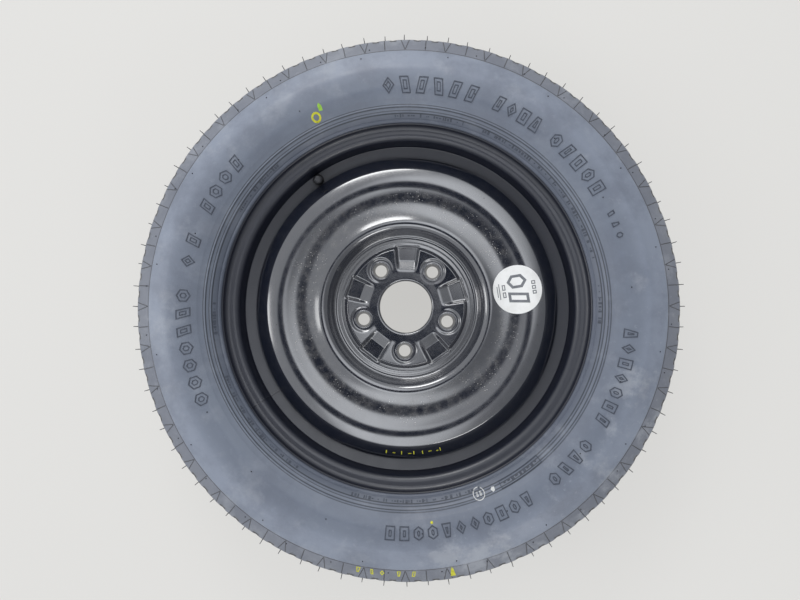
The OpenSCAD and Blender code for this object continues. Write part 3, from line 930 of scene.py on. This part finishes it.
class SPARE_OT_paint_marks(bpy.types.Operator):
    """Make the yellow, green and white marks left by the works on the tyre and the disc"""

    bl_idname = "spare.paint_marks"
    bl_label = "Paint Marks"

    def execute(self, context):
        """Lay flat marks on the shoulder, the sidewall and the sloping edge of the disc."""
        # Angles are read clockwise from the top; distances are from the axis in millimetres
        yellow = bmesh.new()
        marks = [(169.9, 331.5, [(-3.2, 7.5), (-1.0, -6.5), (1.2, -6.5), (3.2, 7.5)], 0)]
        for degrees, shape, width in (
            (178.2, 5, 5.2), (181.4, 3, 5.0), (185.0, 4, 5.6), (187.2, 2, 4.6), (190.2, 3, 5.6),
        ):
            marks.append((degrees, 330.5, scaled(BLOCKS[shape], width, 8.4), 1.25))
        marks.append((334.8, 262.0, disc_of(6.2), 2.5))
        marks.append((173.0, 265.5, disc_of(1.7, count=8), 0))
        for degrees, r, corners, rim in marks:
            one = slab(corners, rim, 0.12, 3.0)
            lay_on_sidewall(one, clockwise(degrees), r, 0.02)
            add_to(yellow, one)
        # Short strokes and dashes run along the disc's sloping edge
        for degrees, width, r in (
            (166.4, 1.2, 187.0), (167.6, 2.6, 188.2), (170.4, 4.0, 187.0),
            (173.4, 1.3, 187.4), (176.8, 1.4, 187.0), (178.4, 4.2, 188.0),
            (181.6, 1.3, 187.0), (184.6, 3.4, 187.6), (187.6, 1.4, 187.0),
        ):
            one = slab(box_of(width, 5.2 if width < 2 else 1.3), 0, 0.12, 3.0)
            lay_on_disc(one, clockwise(degrees), r, 0.04)
            add_to(yellow, one)
        piece("yellow_marks", yellow, finish("Yellow marking crayon"), crease=60)
        green = slab([(-2.2, -4.2), (2.6, -4.6), (3.0, 1.0), (0.6, 5.4), (-1.8, 2.4)], 0, 0.12, 3.0)
        lay_on_sidewall(green, clockwise(336.7), 271.0, 0.02)
        piece("green_mark", green, finish("Green marking crayon"), crease=60)
        # The white stamp: a thin ring round two bars, with a small dab beside it
        white = slab(disc_of(7.4, count=28), 1.0, 0.1, 0.8)
        for x in (-2.2, 2.2):
            add_to(white, slab(box_of(2.0, 5.4, x), 0.7, 0.1, 0.8))
        lay_on_sidewall(white, clockwise(158.6), 248.2, 0.16)
        dab = slab([(-2.6, -1.8), (0.4, -3.0), (2.8, -0.6), (1.2, 2.6), (-1.6, 2.0)], 0, 0.1, 0.8)
        lay_on_sidewall(dab, clockwise(154.4), 249.5, 0.16)
        add_to(white, dab)
        piece("stamp_marks", white, finish("White stamping ink"), crease=60)
        # Small flakes of paint have left dark pits on the crowns
        pits = bmesh.new()
        chance = random.Random(3)
        for degrees, r, size in (
            (344.0, 146.5, 1.7), (98.0, 168.0, 0.7), (212.0, 121.0, 0.8),
            (36.0, 170.5, 0.6), (262.0, 166.0, 0.7),
        ):
            ring = disc_of(size, count=7)
            corners = [(x * chance.uniform(0.6, 1.3), y * chance.uniform(0.4, 0.9)) for x, y in ring]
            one = slab(corners, 0, 0.05, 3.0)
            lay_on_disc(one, clockwise(degrees), r, 0.02)
            add_to(pits, one)
        piece("paint_pits", pits, finish("Bare pits in the paint"), crease=60)
        return {"FINISHED"}


class SPARE_OT_rim(bpy.types.Operator):
    """Make the rolled rim with its flanges, bead seats and well"""

    bl_idname = "spare.rim"
    bl_label = "Rim"

    def execute(self, context):
        """Turn the rolled band and punch the valve hole."""
        seat_end = HALF_RIM - 24.5
        seat_end_r = SEAT_R - 24.5 * math.tan(math.radians(5))
        ledge = seat_end - (seat_end_r - WELL_R) * math.tan(LEDGE_SLOPE)
        line = [
            (LIP_R - 0.6, HALF_RIM + 11.0, 0),
            (LIP_R, HALF_RIM + 10.4, 0.5),
            (LIP_R, HALF_RIM, 9),
            (SEAT_R, HALF_RIM, 6),
            (seat_end_r, seat_end, 4.4),
            (WELL_R, ledge, 3),
            (WELL_R, ledge - 41, 8),
            (seat_end_r, -seat_end, 5),
            (SEAT_R, -HALF_RIM, 6),
            (LIP_R, -HALF_RIM, 9),
            (LIP_R, -HALF_RIM - 10.4, 0.5),
            (LIP_R - 0.6, -HALF_RIM - 11.0, 0),
        ]
        outer = rounded(line, 7.5)
        section = filled(outer, 14.0) + filled(beside(outer, RIM_T), 14.0)[::-1]
        bm = turned([(p.x, p.y + MIDDLE) for p in section], 400)
        # The well gathers less dust than the disc, and the rolled band is duller
        paint = paint_material("Dip paint on the rim", "#101524", 0.42, dusty=0.25, gloss=0.25, seam=True)
        rim = piece("rolled_rim", bm, paint, stands_for=["rim"])
        bore_through(rim, on_valve(), radius=5.75, depth=12.0)
        return {"FINISHED"}


class SPARE_OT_disc(bpy.types.Operator):
    """Make the pressed disc with its raised rings, pads and nut seats"""

    bl_idname = "spare.disc"
    bl_label = "Disc"

    def execute(self, context):
        """Press the disc, cut its stud holes and set the nut seats."""
        paint = paint_material("Dip paint on the disc", "#141926", 0.17, dusty=1.0, gloss=1.0, seam=False)
        piece("pressed_disc", make_disc(400), paint, stands_for=["disc"], crease=60)
        seat = [
            (12.9, SPOT_Z + 0.02, 0),
            (11.6, SPOT_Z + 0.02, 1.0),
            (10.9, SPOT_Z + 0.7, 0.5),
            (10.2, SPOT_Z + 0.5, 0.6),
            (7.5, 2.6, 0.8),
            (7.5, 0.6, 0),
            (10.4, 0.6, 0.8),
            (12.9, 4.9, 0),
        ]
        seats = bmesh.new()
        for a in NUT_ANGLES:
            one = turned(rounded(seat, 12), 64)
            place = Matrix.Rotation(a, 4, "Z") @ Matrix.Translation((STUD_R * MM, 0, 0))
            bmesh.ops.transform(one, matrix=place, verts=one.verts)
            add_to(seats, one)
        piece("nut_seats", seats, paint)
        return {"FINISHED"}


class SPARE_OT_valve(bpy.types.Operator):
    """Make the snap-in valve: its rubber, threaded stem and ribbed cap"""

    bl_idname = "spare.valve"
    bl_label = "Valve"

    def execute(self, context):
        """Turn the rubber, the stem and the cap on the valve's axis."""
        rubber_line = [
            (2.95, -8.5, 0), (6.4, -8.5, 1.5), (7.2, -2.5, 0.8), (5.65, -2.5, 0.2),
            (5.65, 0.1, 0.2), (6.4, 0.1, 0.4), (7.3, 2.6, 1), (7.1, 5, 2), (5.4, 12.5, 6),
            (4.9, 22.0, 0.6), (3.86, 22.0, 0), (3.86, 14.0, 0), (2.95, 14.0, 0),
        ]
        rubber = turned(rounded(rubber_line, 9), 48)
        # The outer thread has a pitch of 0.79 mm, and shows once the cap is off
        stem_line = [(1.3, -8.5), (2.95, -8.5), (2.95, 14.0), (3.85, 14.0), (3.85, 22.6)]
        z = 22.8
        while z < 32.3:
            stem_line += [(3.85, z), (3.85, z + 0.15), (3.42, z + 0.42), (3.42, z + 0.52)]
            z += THREAD_PITCH
        stem_line += [(3.3, VALVE_LENGTH), (2.6, VALVE_LENGTH)]
        stem_line += [(2.6, 27.6), (2.15, 27.6), (2.15, 15.6), (1.3, 15.6)]
        stem = turned(stem_line, 48)
        cap_line = [
            (0, 34.06, 0), (3.95, 34.06, 0), (3.95, 23.3, 0.2), (4.1, 23.2, 0.1), (4.45, 23.2, 0.25),
            (4.45, 34.4, 0.8), (3.05, 36.0, 0.8), (0, 36.0, 0),
        ]
        cap = turned(rounded(cap_line, 15), 48, closed=False)
        for i in range(20):
            rib = Matrix.Translation((4.42 * MM, 0, 29.2 * MM))
            add_peg(cap, Matrix.Rotation(i * math.tau / 20, 4, "Z") @ rib, 0.48, 0.4, 9.2, 8)
        for name, bm, material, body, node_name in (
            ("valve_rubber", rubber, "Snap-in valve rubber", "wheel", "valve_body"),
            ("valve_stem", stem, "Turned valve brass", "wheel", "valve_stem"),
            ("valve_cap_ribbed", cap, "Moulded cap plastic", "cap", "valve_cap"),
        ):
            bmesh.ops.transform(bm, matrix=on_valve(), verts=bm.verts)
            piece(name, bm, finish(material), body, stands_for=[node_name])
        return {"FINISHED"}


class SPARE_OT_hidden_pieces(bpy.types.Operator):
    """Finish the welds and the pieces inside the valve, which keep the frame's own shapes"""

    bl_idname = "spare.hidden_pieces"
    bl_label = "Welds and Valve Core"

    def execute(self, context):
        """Give each of those frame pieces the finish of the real one."""
        for material, names in (
            ("Painted weld bead", ("weld_1", "weld_2", "weld_3", "weld_4")),
            ("Turned valve brass", ("core_plug", "core_barrel", "core_pin", "core_cup")),
            ("Moulded seal rubber", ("core_gasket", "core_seal", "cap_seal")),
            ("Drawn spring wire", ("core_spring",)),
        ):
            for name in names:
                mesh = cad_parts[name].data
                mesh.materials.clear()
                mesh.materials.append(finish(material))
        return {"FINISHED"}


class SPARE_OT_label(bpy.types.Operator):
    """Make the round label with its plain grey shapes"""

    bl_idname = "spare.label"
    bl_label = "Label"

    def execute(self, context):
        """Lay a round film on the disc and print simple shapes on it."""
        s = context.scene.spare_label
        bm = bmesh.new()
        line = [bm.verts.new((s.radius * k / 16, 0, 0)) for k in range(17)]
        spokes = [bm.edges.new(pair) for pair in zip(line, line[1:])]
        bmesh.ops.spin(
            bm,
            geom=line + spokes,
            cent=(0, 0, 0),
            axis=(0, 0, 1),
            angle=2 * math.pi,
            steps=96,
            use_merge=True,
            use_duplicate=False,
        )
        bmesh.ops.remove_doubles(bm, verts=bm.verts, dist=1e-7)
        lifted = bmesh.ops.extrude_face_region(bm, geom=list(bm.faces))["geom"]
        top = [g for g in lifted if isinstance(g, bmesh.types.BMVert)]
        bmesh.ops.translate(bm, verts=top, vec=(0, 0, 0.32 * MM))
        lay_on_disc(bm, LABEL_ANGLE, LABEL_R, 0.02)
        piece("label_film", bm, finish("Printed vinyl label"), stands_for=["speed_label"], crease=60)
        # Plain hollow shapes and bars fill the label; none of them is a figure
        shapes = [(scaled(BLOCKS[k], 17.0, 25.0, x, 0.5), 3.4) for k, x in ((1, -10.4), (5, 10.4))]
        shapes += [(box_of(4.6, 5.0, x, 20.6), 1.2) for x in (-6.2, 0.0, 6.2)]
        shapes += [(box_of(7.0, 4.2, x, -16.6), 1.2) for x in (-4.6, 4.8)]
        shapes += [(box_of(20.0, 1.1, 0, -22.4), 0), (box_of(14.0, 1.0, 0, -25.0), 0)]
        bm = bmesh.new()
        for corners, rim in shapes:
            add_to(bm, slab(corners, rim, 0.05, 2.5))
        lay_on_disc(bm, LABEL_ANGLE, LABEL_R, 0.36)
        piece("label_print", bm, finish("Grey printing ink"), crease=60)
        return {"FINISHED"}


class SPARE_OT_stage(bpy.types.Operator):
    """Set the floor, the lamps and the camera of the photograph"""

    bl_idname = "spare.stage"
    bl_label = "Floor, Lamps and Camera"

    def execute(self, context):
        """Lay the pale floor, hang soft lamps and look straight down."""
        s = context.scene.spare_stage
        bm = bmesh.new()
        bmesh.ops.create_grid(bm, x_segments=1, y_segments=1, size=3.0)
        bmesh.ops.translate(bm, verts=bm.verts, vec=(0, 0, (MIDDLE - BULGE - 0.3) * MM))
        mesh = bpy.data.meshes.new("floor")
        bm.to_mesh(mesh)
        bm.free()
        floor = bpy.data.objects.new("floor", mesh)
        context.scene.collection.objects.link(floor)
        # Painted boards: matt and pale. Seen straight or mirrored, most of the tone is the floor's own,
        # so that it stays pale through the holes
        material, add, shader = finish_of("Painted studio floor")
        colour = (*s.floor_colour, 1.0)
        join(shader, {"Base Color": colour, "Roughness": 0.6})
        rays = add("LightPath", out="Is Camera Ray").node.outputs
        seen = add("Math", rays["Is Camera Ray"], rays["Is Glossy Ray"], operation="MAXIMUM")
        seen = add("Math", seen, rays["Is Transmission Ray"], operation="MAXIMUM")
        share = add("Math", seen, s.floor_own, operation="MULTIPLY")
        own = add("Emission", {"Color": colour, "Strength": 1.0})
        both = add("MixShader", share, shader.outputs[0], own)
        join(material.node_tree.nodes["Material Output"], {"Surface": both})
        mesh.materials.append(material)
        # Windows at the top, the left and the foot give the paint its bright streaks
        for name, turn, away, high, size, power in (
            ("top window", 346, 2.1, 1.5, (1.1, 0.8), s.top_power),
            ("left window", 267, 2.2, 1.4, (0.7, 1.2), s.left_power),
            ("foot window", 157, 2.1, 1.3, (0.9, 0.6), s.foot_power),
        ):
            place = (away * math.cos(clockwise(turn)), away * math.sin(clockwise(turn)), high)
            lamp = bpy.data.lights.new(name, "AREA")
            lamp.shape = "RECTANGLE"
            lamp.size, lamp.size_y = size
            lamp.energy = power
            obj = bpy.data.objects.new(name, lamp)
            obj.location = place
            obj.rotation_euler = (-Vector(place)).to_track_quat("-Z", "Y").to_euler()
            context.scene.collection.objects.link(obj)
        world = bpy.data.worlds.new("room")
        world.use_nodes = True
        add = partial(node, world.node_tree)
        towards = add("TexCoord", out="Generated")
        # Each place of the room is a direction, how near to it the change starts and ends, and the change:
        # a small dark place of the ceiling, the darker right, and two glaring places that gloss mirrors
        places = []
        for direction, low, high, to_low, to_high in (
            ((-0.112, -0.124, 1.0), 0.946, 0.98, 1.0, 0.03),
            ((1.0, -0.2, 0.25), 0.1, 0.8, 1.0, 0.5),
            ((0.30, 0.36, 1.0), 0.9, 0.975, 0.0, s.room_glare),
            ((-0.06, -0.6, 1.0), 0.925, 0.985, 0.0, s.room_glare),
        ):
            centre = Vector(direction).normalized()
            near = add("VectorMath", towards, centre, out="Value", operation="DOT_PRODUCT")
            places.append(add("MapRange", near, low, high, to_low, to_high, **SMOOTH))
        dark, right, glare_up, glare_down = places
        shade = add("Math", dark, right, operation="MULTIPLY")
        glare = add("Math", glare_up, glare_down, operation="ADD")
        rays = add("LightPath", out="Is Camera Ray").node.outputs
        level = add("Math", rays["Is Glossy Ray"], glare, s.room_light, operation="MULTIPLY_ADD")
        level = add("Math", shade, level, operation="MULTIPLY")
        # Seen straight, behind the floor's edge, the room is one plain pale tone
        seen = add("Math", rays["Is Camera Ray"], 0.88, operation="MULTIPLY")
        level = add("Math", level, seen, operation="MAXIMUM")
        join(world.node_tree.nodes["Background"], {"Color": (*s.room_colour, 1.0), "Strength": level})
        context.scene.world = world
        lens = bpy.data.cameras.new("photo camera")
        lens.sensor_width = FILM_MM
        lens.lens = FOCAL_PX / PHOTO_WIDTH_PX * FILM_MM
        camera = bpy.data.objects.new("photo camera", lens)
        camera.location = CAMERA_PLACE
        camera.rotation_euler = CAMERA_TILT
        context.scene.collection.objects.link(camera)
        context.scene.camera = camera
        context.scene.view_settings.view_transform = "Standard"
        return {"FINISHED"}


class SpareTyreSettings(bpy.types.PropertyGroup):
    """Sizes of the tyre's details."""

    pitches: IntProperty(
        name="Tread Pitches", description="Repeats of the tread pattern", default=40, min=20, max=80
    )
    groove_wave: FloatProperty(
        name="Groove Wave", description="How far the grooves swing aside", default=2.4 * MM, unit="LENGTH"
    )
    notch_depth: FloatProperty(
        name="Notch Depth",
        description="Depth of the notches in the tread's edge",
        default=0.9 * MM,
        unit="LENGTH",
    )
    vents: IntProperty(name="Vents", description="Vent hairs round each shoulder", default=80, min=0, max=160)
    vent_length: FloatProperty(
        name="Vent Length", description="Length of a vent hair", default=7.4 * MM, unit="LENGTH"
    )


class SpareLabelSettings(bpy.types.PropertyGroup):
    """Sizes of the label."""

    radius: FloatProperty(name="Radius", description="Radius of the label", default=30.9 * MM, unit="LENGTH")


class SpareStageSettings(bpy.types.PropertyGroup):
    """Colours and lamps of the stage."""

    floor_colour: FloatVectorProperty(
        name="Floor",
        description="Colour of the floor",
        subtype="COLOR",
        size=3,
        default=srgb("#e3e2df")[:3],
    )
    floor_own: FloatProperty(
        name="Floor Glow",
        description="Share of the floor's tone that no shadow dims",
        default=0.72,
        min=0,
        max=1,
    )
    room_colour: FloatVectorProperty(
        name="Room",
        description="Colour of the room's light",
        subtype="COLOR",
        size=3,
        default=srgb("#eef1f6")[:3],
    )
    room_light: FloatProperty(name="Room Light", description="Strength of the room's light", default=1.0)
    room_glare: FloatProperty(
        name="Room Glare", description="Strength that bright places add in gloss", default=1.9
    )
    top_power: FloatProperty(
        name="Top Lamp", description="Power of the lamp at the top", default=19, unit="POWER"
    )
    left_power: FloatProperty(name="Left Lamp", description="Power of the left lamp", default=8, unit="POWER")
    foot_power: FloatProperty(
        name="Foot Lamp", description="Power of the lamp at the foot", default=8, unit="POWER"
    )


OPERATORS = (
    SPARE_OT_tyre,
    SPARE_OT_vents,
    SPARE_OT_sidewall_marks,
    SPARE_OT_paint_marks,
    SPARE_OT_rim,
    SPARE_OT_disc,
    SPARE_OT_valve,
    SPARE_OT_hidden_pieces,
    SPARE_OT_label,
    SPARE_OT_stage,
)


class SPARE_PT_panel(bpy.types.Panel):
    """Lists the settings and the pieces of the spare wheel"""

    bl_idname = "SPARE_PT_panel"
    bl_label = "Spare Wheel"
    bl_space_type = "VIEW_3D"
    bl_region_type = "UI"
    bl_category = "Spare Wheel"

    def draw(self, context):
        """Draw the settings, then a button for each operator."""
        for group in (context.scene.spare_tyre, context.scene.spare_label, context.scene.spare_stage):
            box = self.layout.box()
            for key in group.__annotations__:
                box.prop(group, key)
        for operator in OPERATORS:
            self.layout.operator(operator.bl_idname)


CLASSES = (SpareTyreSettings, SpareLabelSettings, SpareStageSettings, *OPERATORS, SPARE_PT_panel)


def register():
    """Register the classes and their settings."""
    for cls in CLASSES:
        bpy.utils.register_class(cls)
    bpy.types.Scene.spare_tyre = PointerProperty(type=SpareTyreSettings)
    bpy.types.Scene.spare_label = PointerProperty(type=SpareLabelSettings)
    bpy.types.Scene.spare_stage = PointerProperty(type=SpareStageSettings)


def unregister():
    """Take the settings and the classes away."""
    del bpy.types.Scene.spare_stage
    del bpy.types.Scene.spare_label
    del bpy.types.Scene.spare_tyre
    for cls in reversed(CLASSES):
        bpy.utils.unregister_class(cls)


def main():
    """Make every piece in order."""
    register()
    bpy.ops.spare.tyre()
    bpy.ops.spare.vents()
    bpy.ops.spare.sidewall_marks()
    bpy.ops.spare.paint_marks()
    bpy.ops.spare.rim()
    bpy.ops.spare.disc()
    bpy.ops.spare.valve()
    bpy.ops.spare.hidden_pieces()
    bpy.ops.spare.label()
    bpy.ops.spare.stage()
    bpy.context.view_layer.update()


if __name__ == "__main__":
    main()
